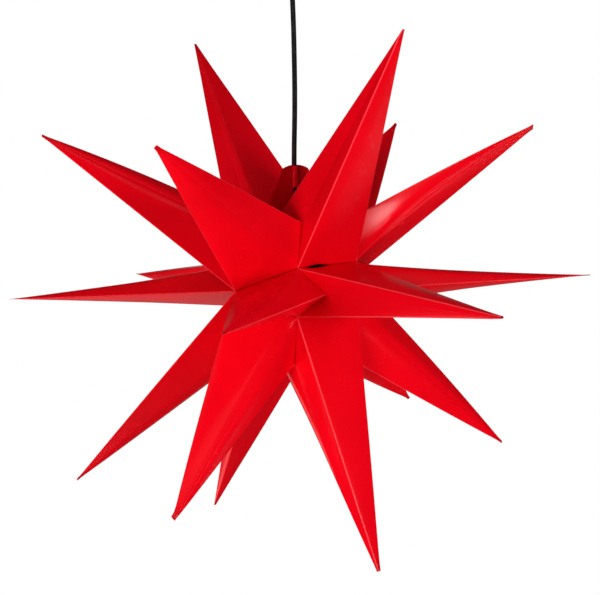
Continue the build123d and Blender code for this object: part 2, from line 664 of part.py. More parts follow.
for name, side in (("supply_lead_live", 1), ("supply_lead_neutral", -1)):
    start = Vector(0, side * LEAD_SPREAD / 2, stub_top + LEAD_GAP)
    finish = Vector(BLOCK_START + TUBE_INSET + LEAD_ENTRY, side * POLE_SPACING / 2, tube_height)
    riser = Vector(0, side * LEAD_SPREAD / 2, (stub_top + tube_height) / 2)
    entry = Vector(BLOCK_START / 2, side * POLE_SPACING / 2, tube_height)
    with BuildPart() as supply_lead:
        with BuildLine() as route:
            FilletPolyline(start, riser, entry, finish, radius=LEAD_BEND)
        with BuildSketch(Plane(origin=start, z_dir=route.line % 0)):
            Circle(LEAD_RADIUS)
        sweep()
    save(supply_lead.part, name)
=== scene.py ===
import json
import bmesh
import bpy
import numpy as np
from mathutils import Matrix, Vector


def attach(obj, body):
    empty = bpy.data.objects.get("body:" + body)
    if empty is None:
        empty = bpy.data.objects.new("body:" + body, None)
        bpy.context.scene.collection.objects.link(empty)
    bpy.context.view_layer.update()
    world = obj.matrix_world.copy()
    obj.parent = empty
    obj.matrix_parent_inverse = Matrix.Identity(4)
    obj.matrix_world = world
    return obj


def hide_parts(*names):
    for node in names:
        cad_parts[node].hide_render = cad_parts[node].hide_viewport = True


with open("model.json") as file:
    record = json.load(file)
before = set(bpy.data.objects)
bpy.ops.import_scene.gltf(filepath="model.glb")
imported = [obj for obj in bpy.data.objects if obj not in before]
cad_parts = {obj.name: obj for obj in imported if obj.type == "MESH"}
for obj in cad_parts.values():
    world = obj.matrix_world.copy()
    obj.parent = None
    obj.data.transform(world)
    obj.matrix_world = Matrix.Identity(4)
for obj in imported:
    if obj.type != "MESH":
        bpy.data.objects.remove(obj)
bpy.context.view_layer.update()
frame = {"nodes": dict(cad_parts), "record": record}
print("frame in:", len(frame["nodes"]), "nodes")

starCentre = np.array([0.0, 0.0, -0.330])  # 330 mm under the ceiling
levelAxis = np.array([0.0, 1.0, 0.0])  # runs from the north pole to the south pole
mm = 0.001  # lengths are in metres, and in mm only where a note says so


# camera

photoView = {
    "toward": (0.7824, -0.6063, 0.1422),  # from the star to the lens
    "up": (-0.1033, 0.0988, 0.9897),
    "distance": 1.6044,
    "lens": 96.26,
    "sensor": 36.0,
    "image": (600, 595),
    "starPixel": (296.4, 283.7),
}


def setCamera(view):
    toward = Vector(view["toward"]).normalized()
    right = Vector(view["up"]).cross(toward).normalized()
    up = toward.cross(right)
    data = bpy.data.cameras.new("photoCamera")
    data.lens = view["lens"]
    data.sensor_width = view["sensor"]
    width, height = view["image"]
    data.shift_x = (width / 2 - view["starPixel"][0]) / width
    data.shift_y = (view["starPixel"][1] - height / 2) / width
    camera = bpy.data.objects.new("photoCamera", data)
    bpy.context.scene.collection.objects.link(camera)
    turn = Matrix((right, up, toward)).transposed().to_4x4()
    camera.matrix_world = Matrix.Translation(Vector(starCentre) + toward * view["distance"]) @ turn
    bpy.context.scene.camera = camera


setCamera(photoView)
print("camera set")


# finishes, all worked out from nodes

def nodeFinish(name):
    made = bpy.data.materials.new(name)
    made.use_nodes = True
    nodes, links = made.node_tree.nodes, made.node_tree.links
    shader = nodes["Principled BSDF"]
    place = nodes.new("ShaderNodeTexCoord").outputs["Object"]
    return made, nodes, links, shader, place


def noiseFrom(nodes, links, place, scale, detail=3.0, stretch=(1, 1, 1)):
    mapping = nodes.new("ShaderNodeMapping")
    mapping.inputs["Scale"].default_value = stretch
    noise = nodes.new("ShaderNodeTexNoise")
    noise.inputs["Scale"].default_value = scale
    noise.inputs["Detail"].default_value = detail
    links.new(place, mapping.inputs["Vector"])
    links.new(mapping.outputs["Vector"], noise.inputs["Vector"])
    return noise.outputs["Fac"]


def rangeOf(nodes, links, value, low, high, fromLow=0.3, fromHigh=0.7):
    spread = nodes.new("ShaderNodeMapRange")
    spread.inputs["From Min"].default_value = fromLow
    spread.inputs["From Max"].default_value = fromHigh
    spread.inputs["To Min"].default_value = low
    spread.inputs["To Max"].default_value = high
    links.new(value, spread.inputs["Value"])
    return spread.outputs["Result"]


def mixColour(nodes, links, share, first, second):
    mix = nodes.new("ShaderNodeMix")
    mix.data_type = "RGBA"
    links.new(share, mix.inputs["Factor"])
    for socket, value in ((mix.inputs[6], first), (mix.inputs[7], second)):  # the two colour sockets
        if isinstance(value, tuple):
            socket.default_value = (*value, 1.0)
        else:
            links.new(value, socket)
    return mix.outputs[2]


def twoTones(nodes, links, noise, first, second):
    return mixColour(nodes, links, rangeOf(nodes, links, noise, 0.0, 1.0), first, second)


def bumpFrom(nodes, links, height, strength, depth):
    bump = nodes.new("ShaderNodeBump")
    bump.inputs["Strength"].default_value = strength
    bump.inputs["Distance"].default_value = depth
    links.new(height, bump.inputs["Height"])
    return bump.outputs["Normal"]


redLook = {
    "deep": (0.74, 0.0005, 0.006),  # sheet where it is a little thicker
    "clear": (0.86, 0.0008, 0.009),
    "foldWhiteAndHighlight": (0.95, 0.05, 0.065),  # fold: whitening from bending, lightened further as a painted highlight along the ridge
    "tip": (0.30, 0.001, 0.004),  # darker colour near a point's tip
    "rough": (0.2, 0.28),
    "specular": 0.3,
    "cloudScale": 9.0,
    "handlingScale": 38.0,  # gloss made uneven by handling
    "grainScale": 900.0,
    "grainBump": (0.06, 0.0002),  # strength, depth
}


def makeRedSheet(name, look, folded):
    made, nodes, links, shader, place = nodeFinish(name)
    clouds = noiseFrom(nodes, links, place, look["cloudScale"])
    colour = twoTones(nodes, links, clouds, look["deep"], look["clear"])
    if folded:  # the leaves carry how near each vertex is to a fold and to a tip
        tip = nodes.new("ShaderNodeAttribute")
        tip.attribute_name = "tip"
        crease = nodes.new("ShaderNodeAttribute")
        crease.attribute_name = "crease"
        # colour darkened towards each point's tip
        colour = mixColour(nodes, links, tip.outputs["Fac"], colour, look["tip"])
        # folds drawn lighter: whitening from bending plus a painted highlight along each ridge
        colour = mixColour(nodes, links, crease.outputs["Fac"], colour, look["foldWhiteAndHighlight"])
    links.new(colour, shader.inputs["Base Color"])
    handling = noiseFrom(nodes, links, place, look["handlingScale"], detail=5.0)
    links.new(rangeOf(nodes, links, handling, *look["rough"]), shader.inputs["Roughness"])
    grain = noiseFrom(nodes, links, place, look["grainScale"], detail=1.0)
    links.new(bumpFrom(nodes, links, grain, *look["grainBump"]), shader.inputs["Normal"])
    shader.inputs["Specular IOR Level"].default_value = look["specular"]
    return made


plainLooks = {
    # slot: base, second tone, roughness low and high, metallic, specular, grain scale, bump depth in metres
    "clear_red_stud": ((0.55, 0.004, 0.008), (0.46, 0.003, 0.006), (0.22, 0.3), 0.0, 0.45, 300, 0.00005),
    "black_plastic": ((0.012, 0.012, 0.013), (0.02, 0.02, 0.021), (0.42, 0.55), 0.0, 0.45, 1400, 0.00012),
    "black_rubber": ((0.018, 0.018, 0.018), (0.03, 0.03, 0.03), (0.65, 0.8), 0.0, 0.35, 700, 0.0001),
    "white_ceramic": ((0.80, 0.78, 0.73), (0.86, 0.85, 0.81), (0.12, 0.22), 0.0, 0.55, 240, 0.00004),
    "nickel": ((0.72, 0.70, 0.66), (0.60, 0.58, 0.55), (0.16, 0.3), 1.0, 0.5, 500, 0.00003),
    "brass": ((0.74, 0.54, 0.24), (0.60, 0.42, 0.17), (0.2, 0.36), 1.0, 0.5, 420, 0.00004),
    "steel": ((0.60, 0.60, 0.61), (0.50, 0.50, 0.52), (0.26, 0.42), 1.0, 0.5, 380, 0.00005),
    "brown_lead": ((0.15, 0.055, 0.022), (0.19, 0.075, 0.03), (0.36, 0.46), 0.0, 0.4, 600, 0.00003),
    "blue_lead": ((0.025, 0.11, 0.42), (0.035, 0.14, 0.5), (0.36, 0.46), 0.0, 0.4, 600, 0.00003),
    "black_glass": ((0.012, 0.012, 0.018), (0.03, 0.028, 0.035), (0.08, 0.18), 0.0, 0.6, 260, 0.00004),
    "white_plastic": ((0.82, 0.82, 0.80), (0.77, 0.77, 0.74), (0.38, 0.5), 0.0, 0.42, 900, 0.00006),
    "board": ((0.74, 0.77, 0.73), (0.66, 0.70, 0.66), (0.3, 0.45), 0.0, 0.45, 500, 0.00004),
    "led_phosphor": ((0.86, 0.68, 0.16), (0.80, 0.58, 0.10), (0.3, 0.4), 0.0, 0.45, 800, 0.00003),
    "capacitor_sleeve": ((0.04, 0.04, 0.06), (0.06, 0.06, 0.085), (0.25, 0.35), 0.0, 0.5, 300, 0.00004),
}
plainWear = {"toneScale": 60.0, "rubScale": 140.0, "bumpStrength": 0.25}  # the same on all of them


def makePlain(name, look):
    first, second, rough, metallic, specular, grainScale, depth = look
    made, nodes, links, shader, place = nodeFinish(name)
    tone = noiseFrom(nodes, links, place, plainWear["toneScale"], detail=4.0)
    links.new(twoTones(nodes, links, tone, first, second), shader.inputs["Base Color"])
    rub = noiseFrom(nodes, links, place, plainWear["rubScale"], detail=4.0)
    links.new(rangeOf(nodes, links, rub, *rough), shader.inputs["Roughness"])
    grain = noiseFrom(nodes, links, place, grainScale, detail=2.0)
    links.new(bumpFrom(nodes, links, grain, plainWear["bumpStrength"], depth), shader.inputs["Normal"])
    shader.inputs["Metallic"].default_value = metallic
    shader.inputs["Specular IOR Level"].default_value = specular
    return made


cordLook = {
    "base": (0.008, 0.008, 0.009),
    "worn": (0.022, 0.022, 0.024),
    "rough": (0.26, 0.36),
    "specular": 0.55,
    "toneScale": 90.0,
    "ribScale": 420.0,
    "ribStretch": (1, 1, 0.12),  # drawn out along the cord
    "ribBump": (0.2, 0.0001),  # strength, depth
}


def makeCordSheath(name, look):
    made, nodes, links, shader, place = nodeFinish(name)
    tone = noiseFrom(nodes, links, place, look["toneScale"], detail=4.0)
    links.new(twoTones(nodes, links, tone, look["base"], look["worn"]), shader.inputs["Base Color"])
    links.new(rangeOf(nodes, links, tone, *look["rough"]), shader.inputs["Roughness"])
    rib = noiseFrom(nodes, links, place, look["ribScale"], 1.0, look["ribStretch"])
    links.new(bumpFrom(nodes, links, rib, *look["ribBump"]), shader.inputs["Normal"])
    shader.inputs["Specular IOR Level"].default_value = look["specular"]
    return made


globeLook = {
    "base": (0.90, 0.89, 0.86),
    "second": (0.94, 0.94, 0.92),
    "rough": (0.34, 0.44),
    "toneScale": 45.0,
    "grainScale": 1600.0,
    "grainBump": (0.2, 0.0001),  # strength, depth
    "transmission": 0.25,
    "subsurface": 0.2,
    "subsurfaceRadius": (0.002, 0.002, 0.002),
}


def makeFrostedGlobe(name, look):
    made, nodes, links, shader, place = nodeFinish(name)
    tone = noiseFrom(nodes, links, place, look["toneScale"])
    links.new(twoTones(nodes, links, tone, look["base"], look["second"]), shader.inputs["Base Color"])
    links.new(rangeOf(nodes, links, tone, *look["rough"]), shader.inputs["Roughness"])
    grain = noiseFrom(nodes, links, place, look["grainScale"], detail=1.0)
    links.new(bumpFrom(nodes, links, grain, *look["grainBump"]), shader.inputs["Normal"])
    shader.inputs["Transmission Weight"].default_value = look["transmission"]
    shader.inputs["Subsurface Weight"].default_value = look["subsurface"]
    shader.inputs["Subsurface Radius"].default_value = look["subsurfaceRadius"]
    return made


finishes = {slotName: makePlain(slotName, look) for slotName, look in plainLooks.items()}
finishes["red_sheet"] = makeRedSheet("red_sheet", redLook, False)
finishes["black_cord"] = makeCordSheath("black_cord", cordLook)
finishes["frosted_globe"] = makeFrostedGlobe("frosted_globe", globeLook)
foldedSheet = makeRedSheet("red_sheet_folded", redLook, True)
for entry in frame["record"]["subparts"]:
    node = frame["nodes"][entry["node"]]
    node.data.materials.clear()
    node.data.materials.append(finishes[entry["material_slot"]])
print("finishes:", len(finishes))


# cord, held taut from the grip above the picture

cordRoute = {
    "grip": (0.0, 0.0, -0.2713),  # under the lampholder's boss
    "sway": ((-0.0003, -0.0004, -0.235), (-0.0003, -0.0004, -0.2),
             (0.0008, 0.001, -0.15), (0.0007, 0.0009, -0.08)),
    "pivot": (0.0, 0.0, -0.04),  # in the nipple's mouth
    "roundEnd": ((0.0012, 0.88), (0.0021, 0.54), (0.0025, 0.05)),  # rise above the pivot, share of the radius
    "diameter": 0.005,
    "stepsAlong": 24,
    "stepsRound": 8,
}


def makeCord(route):
    curve = bpy.data.curves.new("hangingCord", "CURVE")
    curve.dimensions = "3D"
    line = curve.splines.new("NURBS")
    x, y, z = route["pivot"]
    places = [(place, 1.0) for place in (route["grip"], *route["sway"], route["pivot"])]
    places += [((x, y, z + rise), share) for rise, share in route["roundEnd"]]
    line.points.add(len(places) - 1)
    for point, (place, share) in zip(line.points, places):
        point.co = (*place, 1.0)
        point.radius = share
    line.order_u = 3
    line.use_endpoint_u = True
    line.resolution_u = route["stepsAlong"]
    curve.bevel_depth = route["diameter"] / 2
    curve.bevel_resolution = route["stepsRound"]
    curve.use_fill_caps = True
    cord = bpy.data.objects.new("hangingCord", curve)
    bpy.context.scene.collection.objects.link(cord)
    curve.materials.append(finishes["black_cord"])
    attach(cord, "star")
    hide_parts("cord")


makeCord(cordRoute)
print("cord hung")


# star of folded sheet: two leaves to a gore, three fans of panels to a leaf

sheetStar = {
    "turns": (0.5, 55.5, 124.5, 184.0, 242.0, 294.0),  # each gore about the level axis, from +X to +Z
    "northLeans": (40.0, 39.0, 39.0, 40.0, 44.5, 43.5),
    "southLeans": (40.0, 39.0, 39.0, 40.0, 39.0, 43.0),
    "equatorReach": 0.294,
    "slantReach": 0.290,
    "valleyRadius": 0.048,
    "poleHalf": 0.076,
    "saddleOut": 0.0395,
    "topValley": 1,
    "holeRadius": 0.0164,
    # the grid of a fan: rows as shares of the way to the tip, close together at both ends,
    # and columns through the zone in which the sheet turns at a fold, then between two zones
    "baseRows": (0, 0.003, 0.008, 0.016),
    "evenRows": (0.03, 0.975, 40),
    "tipRows": (0.985, 0.993, 1.0),
    "foldSteps": (0.0, 0.12, 0.3, 0.55, 0.8, 1.0),
    "innerColumns": 8,
    "weld": 2e-6,
    # folds
    "ridgeZone": 0.0014,
    "ridgeRound": 0.8,
    "ridgeOut": 0.0006,  # how far a ridge bows out half way along
    "creaseZone": 0.010,
    "creaseRound": 0.95,
    "zoneShare": 0.42,  # the most of a panel's width that a fold's zone takes
    "steepest": 1.1,  # radians
    "easeIn": 0.05,  # shares of the way to the tip over which a fold's rounding starts and ends
    "easeOut": 0.03,
    "whiteAndHighlightTo": 0.0009,  # how far from a fold the whitening and painted highlight reach, and over how much they fade
    "whiteAndHighlightFade": 0.0005,
    "slitRun": 0.02,  # share of the way to the tip over which a gape closes
    # panels
    "slantSwell": 0.0008,
    "valleySwell": 0.0012,
    "flankBulge": 0.0008,
    # points' ends
    "tipWidth": 0.003,
    "tipTaper": 0.9,
    "curlFrom": 0.94,
    "curlOver": 0.06,
    "tipDarkening": 0.014,  # how far from a tip the colour darkens, and the most that it does
    "tipDarkeningMost": 0.7,
    # wall
    "wall": 0.0008,
    "fullWallWidth": 0.008,  # panels narrower than this have a thinner wall
    "seamThinning": 0.0025,  # run over which the wall thins towards a seam
    "thinnestShare": 0.04,
    "unweightedShare": 0.02,
}

# how the star was bent by hand when it was set up; poles are -1 north and 1 south
handSet = {
    # turn and lean of each point in degrees, reach in mm
    "equator": ((-0.3, -0.6, -2.8), (0.9, -0.35, 3.6), (0.5, -0.2, -1.9),
                (-0.3, -0.4, 1.4), (-1.0, -1.15, 0.8), (0.3, 0.3, 0.2)),
    "north": ((-0.7, 0, 0.9), (0.4, -0.4, 3.0), (-0.4, 0.8, 0.8),
              (0, 0, -0.5), (0.9, 1.0, 0.9), (0.25, 0.75, -0.8)),
    "south": ((1.3, -0.2, 2.0), (-0.35, -0.2, 2.2), (0.25, -0.2, -1.8),
              (0, 0, 0), (0.45, 0.2, 2.3), (-0.3, 0.4, -1.4)),
    # north and south end of each valley's bottom, in mm from the middle
    "valley": ((31, 43), (40, 41), (42, 36), (34, 36), (38, 36), (31, 46)),
    # shares of a valley between which its two leaves gape, and by how many mm each
    "slit": {0: (0.1, 0.54, 1.7)},
    # mm by which a saddle stands out of its flank's plane, and by which a flank swells out
    "saddle": {(1, -1): 4.5},
    "bulge": {(5, -1): 5.5},
    # mm over which a slanted point's crease and an equator point's ridge are rounded
    "creaseZone": {("north", 1): 24.0, ("north", 5): 18.0, ("south", 1): 8.0, ("south", 5): 20.0},
    "ridgeZone": {(2, "a", -1): 16.0},
    # mm by which a fold bows out half way along, and by which a crease slides towards the saddle there
    "bow": {
        ("south", 0, "a"): -2.8, ("south", 0, "b"): -2.0, ("south", 1, "saddle"): 1.8,
        ("south", 2, "pole"): 1.3, ("south", 5, "pole"): 2.0, ("south", 4, "saddle"): 1.0,
        ("north", 2, "saddle"): 3.2, ("north", 2, "pole"): -0.8, ("north", 3, "a"): -1.0,
        ("north", 3, "b"): -0.8, ("north", 5, "pole"): 1.0, ("equator", 5, "a", -1): -3.6,
        ("equator", 0, "a", -1): -1.6, ("equator", 0, "b", 1): -1.6,
    },
    "slide": {("south", 1, "a"): 9.0},
    "creaseWhiteAndHighlight": {("south", 1): 0.5},  # how strongly a crease is painted light: whitening from folding plus a painted highlight
    # mm: width of a point's end, how far an equator point's end gapes to each side, and how it is bent over
    "tipWidth": {("north", 5): 5.0, ("north", 1): 4.0, ("south", 1): 7.5, ("south", 0): 4.5},
    "tipDepth": {0: 1.1, 5: 1.5},
    "tipCurl": {("equator", 0): (0, 0, 0.4), ("north", 5): (-1.0, -0.6, 0)},
}


def byHand(what, key, usual=0.0):
    return handSet[what][key] * mm if key in handSet[what] else usual


def unit(vector):
    return vector / np.linalg.norm(vector)


def spoke(turn):
    return np.array([np.cos(np.radians(turn)), 0.0, np.sin(np.radians(turn))])


def halfGap(star, gore):
    turns = star["turns"]
    return (turns[(gore + 1) % len(turns)] - turns[gore]) % 360 / 2


def columnsAcross(width, zones, steps, innerCount):
    # share of the way from one fan line to the next: set steps through each fold's zone, even ones between
    left, right = (np.outer(zone / width, steps) for zone in zones)
    even = np.linspace(0, 1, innerCount + 2)[1:-1]
    start, stop = left[:, -1:], 1 - right[:, -1:]
    return np.concatenate([left, start + (stop - start) * even, 1 - right[:, ::-1]], axis=1)


def fanSheet(star, bases, tips, panels, lines, curl, mouth=None):
    # point = line0(u) + (line1(u) - line0(u)) s + normal * swell * sin(pi s) * sin(pi u^0.8), where each
    # line(u) runs from its base to the tip and bows by 4 u (1 - u); by a fold, over a zone z, the sheet
    # turns in by slope * z / 2 * (1 - gap / z)^2
    rows = np.concatenate([star["baseRows"], np.linspace(*star["evenRows"]), star["tipRows"]])
    u = rows[:, None]
    normals = []
    for index in range(len(panels)):
        normal = np.cross(bases[index + 1] - bases[index], tips[index] - bases[index])
        normals.append(unit(normal) * np.sign(normal @ bases[index: index + 2].mean(axis=0)))
    folds = [unit(tip - base) for base, tip in zip(bases, tips)]
    turns, slopes, bows, curves = [], [], [], []
    for side, line in enumerate(lines):
        beside = [normals[panel] for panel in (side - 1, side) if 0 <= panel < len(panels)]
        turn = -np.sum(beside, axis=0)
        if line["seam"] is not None:  # the other leaf's fold is the mirror image in the seam's plane
            across = np.cross(line["seam"], tips[side] - bases[side])
            turn = across * np.sign(across @ turn)
        turn = unit(turn)
        half = np.arccos(np.clip(-beside[0] @ turn, -1, 1))
        turns.append(turn)
        slopes.append(line["round"] * np.tan(min(half, star["steepest"])))
        bows.append(line["bow"] - turn * line["out"])
        if line["slide"]:
            over = bases[side + 1] - bases[side]
            over = over - folds[side] * (over @ folds[side])
            bows[side] = bows[side] + unit(over) * line["slide"]
        curves.append(bases[side] + (tips[side] - bases[side]) * u + bows[side] * (4 * u * (1 - u)))
    widths = [np.linalg.norm(after - before, axis=1) for before, after in zip(curves, curves[1:])]

    def slantOf(index, side):  # sine of the angle between a panel's rows and the fold
        across = (curves[index + 1] - curves[index]) / widths[index][:, None]
        return np.linalg.norm(np.cross(across, folds[side]), axis=1)

    zones = []  # square to the fold, the same on both sides of it
    for side, line in enumerate(lines):
        beside = [index for index in (side - 1, side) if 0 <= index < len(panels)]
        room = np.min([widths[index] * slantOf(index, side) for index in beside], axis=0)
        zones.append(np.minimum(star["zoneShare"] * room, line["zone"]))
    grids, marks, walls = [], [], []
    for index, panel in enumerate(panels):
        width = widths[index][:, None]
        slants = [slantOf(index, side) for side in (index, index + 1)]
        slanted = [zones[index + way] / slants[way] for way in (0, 1)]
        s = columnsAcross(widths[index], slanted, star["foldSteps"], star["innerColumns"])
        along = np.repeat(u, s.shape[1], axis=1)
        if mouth is not None and index == mouth["panel"]:  # the rows start at the cord hole's edge
            reachY = bases[index][1] + (bases[index + 1] - bases[index])[1] * s
            clear = np.sqrt(np.maximum(star["holeRadius"] ** 2 - reachY ** 2, 0)) / mouth["run"]
            along = clear + (1 - clear) * along
        share = s[..., None]
        baseRow = bases[index] + (bases[index + 1] - bases[index]) * share
        tipRow = tips[index] + (tips[index + 1] - tips[index]) * share
        bow = bows[index] * (1 - share) + bows[index + 1] * share
        points = baseRow + (tipRow - baseRow) * along[..., None] + bow * (4 * along * (1 - along))[..., None]
        lift = panel["swell"] * np.sin(np.pi * s) * np.sin(np.pi * along ** 0.8)
        points += normals[index] * lift[..., None]
        if "slit" in panel:
            opened = np.clip((s - panel["from"]) / (panel["to"] - panel["from"]), 0, 1)
            opened = np.sin(np.pi * opened) ** 2 * np.exp(-along / star["slitRun"])
            points += panel["slit"] * opened[..., None]
        mark = np.zeros_like(s)
        wall = np.minimum(1, width / star["fullWallWidth"]) * np.ones_like(s)
        ease = np.clip(along / star["easeIn"], 0, 1) * np.clip((1 - along) / star["easeOut"], 0, 1)
        for way, gap in enumerate((s * width, (1 - s) * width)):
            side = index + way
            line, zone, gap = lines[side], zones[side][:, None], gap * slants[way][:, None]
            near = np.clip(1 - gap / zone, 0, 1)
            points += turns[side] * (slopes[side] * zone / 2 * near ** 2 * ease)[..., None]
            # band beside a fold painted lighter: whitening plus a painted highlight
            foldWhiteAndHighlight = np.clip((star["whiteAndHighlightTo"] - gap) / star["whiteAndHighlightFade"], 0, 1)
            mark = np.maximum(mark, line["whiteAndHighlight"] * foldWhiteAndHighlight)
            if line["seam"] is not None:
                wall = np.minimum(wall, gap / star["seamThinning"])
        points += curl * (np.clip((along - star["curlFrom"]) / star["curlOver"], 0, 1) ** 2)[..., None]
        keep = slice(None) if index == 0 else slice(1, None)
        grids.append(points[:, keep])
        marks.append(mark[:, keep])
        walls.append(wall[:, keep])
    points = np.concatenate(grids, axis=1)
    wall = np.clip(np.concatenate(walls, axis=1), star["thinnestShare"], 1)
    tipGap = np.linalg.norm(points - tips.mean(axis=0) - curl, axis=2)
    # share by which the colour darkens near the tip
    tipDark = np.clip(1 - tipGap / star["tipDarkening"], 0, 1) * star["tipDarkeningMost"]
    return points, np.concatenate(marks, axis=1), wall, tipDark


def leafFans(star, gore, letter):
    toward = -1 if letter == "a" else 1
    turn = star["turns"][gore]
    seam = np.cross(levelAxis, spoke(turn))  # normal of the plane in which the gore's two leaves meet

    def valleyBeside(way):
        return gore if way > 0 else (gore - 1) % len(star["turns"])

    def valleyRay(way):
        return spoke(turn + way * halfGap(star, valleyBeside(way)))

    def valleyEnd(way, pole):
        north, south = handSet["valley"][valleyBeside(way)]
        return valleyRay(way) * star["valleyRadius"] + levelAxis * pole * (north if pole < 0 else south) * mm

    def pointTip(kind, lean, reach, pole):
        turnBy, leanBy, reachBy = handSet[kind][gore]
        angle = np.radians(lean + leanBy)
        ray = spoke(turn + turnBy)
        if kind == "equator":
            return (ray * np.cos(angle) + levelAxis * np.sin(angle)) * (reach + reachBy * mm)
        return (ray * np.sin(angle) + levelAxis * pole * np.cos(angle)) * (reach + reachBy * mm)

    def tipWidth(kind):
        return byHand("tipWidth", (kind, gore), star["tipWidth"])

    def tipCurl(kind):
        return np.array(handSet["tipCurl"].get((kind, gore), (0, 0, 0))) * mm

    equatorTip = pointTip("equator", 0.0, star["equatorReach"], 0)
    corners = {}
    for pole, kind, leans in ((-1, "north", star["northLeans"]), (1, "south", star["southLeans"])):
        left, right = valleyEnd(-1, pole), valleyEnd(1, pole)
        chord = left + (right - left) * (left @ seam) / ((left - right) @ seam)
        flank = unit(equatorTip - chord)
        face = np.cross(right - left, flank)
        outwards = unit(face) * np.sign(face[1]) * pole
        raised = levelAxis * byHand("saddle", (gore, pole))
        corners[pole] = {
            "kind": kind,
            "pole": levelAxis * pole * star["poleHalf"],
            "tip": pointTip(kind, leans[gore], star["slantReach"], pole),
            "saddle": chord + flank * star["saddleOut"] + raised,
            "valley": valleyEnd(toward, pole),
            "bulge": outwards * byHand("bulge", (gore, pole), star["flankBulge"]),
        }
    # every ridge is painted lighter: whitening plus a painted highlight
    ridge = {"zone": star["ridgeZone"], "round": star["ridgeRound"], "whiteAndHighlight": 1.0, "seam": None,
             "bow": np.zeros(3), "out": star["ridgeOut"], "slide": 0.0}

    def ridgeOut(*line):
        return star["ridgeOut"] + byHand("bow", line)

    fans = []
    for pole in (-1, 1):  # half of a slanted point: pole ridge, crease from the valley, saddle ridge
        here = corners[pole]
        kind = here["kind"]
        bases = np.array([here["pole"], here["valley"], here["saddle"]])
        across = unit(here["pole"] - here["saddle"]) * tipWidth(kind) / 2
        tips = here["tip"] + np.array([across, 0 * across, -across])
        crease = {**ridge, "zone": byHand("creaseZone", (kind, gore), star["creaseZone"]),
                  "round": star["creaseRound"], "whiteAndHighlight": handSet["creaseWhiteAndHighlight"].get((kind, gore), 0.0),
                  "out": byHand("bow", (kind, gore, letter)), "slide": byHand("slide", (kind, gore, letter))}
        lines = [{**ridge, "seam": seam, "out": ridgeOut(kind, gore, "pole")}, crease,
                 {**ridge, "seam": seam, "out": ridgeOut(kind, gore, "saddle")}]
        fans.append(fanSheet(star, bases, tips, [{"swell": star["slantSwell"]}] * 2, lines, tipCurl(kind)))

    # half of the equator point: north flank, side by the valley, south flank
    north, south = corners[-1], corners[1]
    bases = np.array([north["saddle"], north["valley"], south["valley"], south["saddle"]])
    half = levelAxis * tipWidth("equator") / 2
    gape = seam * -toward * byHand("tipDepth", gore)
    taper = half * star["tipTaper"]
    tips = equatorTip + np.array([-half, gape - taper, gape + taper, half])
    middle = {**ridge, "seam": seam, "whiteAndHighlight": 0.0, "round": 0.0, "out": 0.0}
    ridges = []
    for pole in (-1, 1):
        ridges.append({**ridge, "out": ridgeOut("equator", gore, letter, pole)})
        if (gore, letter, pole) in handSet["ridgeZone"]:
            softZone = byHand("ridgeZone", (gore, letter, pole))
            ridges[-1].update({"zone": softZone, "round": star["creaseRound"], "whiteAndHighlight": 0.0})
    lines = [{**middle, "bow": north["bulge"]}, *ridges, {**middle, "bow": south["bulge"]}]
    northFlank, southFlank = ({"swell": np.linalg.norm(end["bulge"]) / 4} for end in (north, south))
    valleySide = {"swell": star["valleySwell"]}
    valley = valleyBeside(toward)
    mouth = None
    if valley == star["topValley"]:
        mouth = {"panel": 1, "run": abs(equatorTip[0])}
    elif valley in handSet["slit"]:
        first, last, opening = handSet["slit"][valley]
        aside = np.cross(levelAxis, valleyRay(toward)) * toward
        valleySide.update({"slit": aside * opening * mm, "from": first, "to": last})
    panels = [northFlank, valleySide, southFlank]
    fans.append(fanSheet(star, bases, tips, panels, lines, tipCurl("equator"), mouth))
    return fans


def gridQuads(rowCount, columnCount, first, flip):
    corner = (np.arange(rowCount - 1)[:, None] * columnCount + np.arange(columnCount - 1)).ravel() + first
    quads = np.stack([corner, corner + 1, corner + columnCount + 1, corner + columnCount], axis=1)
    return quads[:, ::-1] if flip else quads


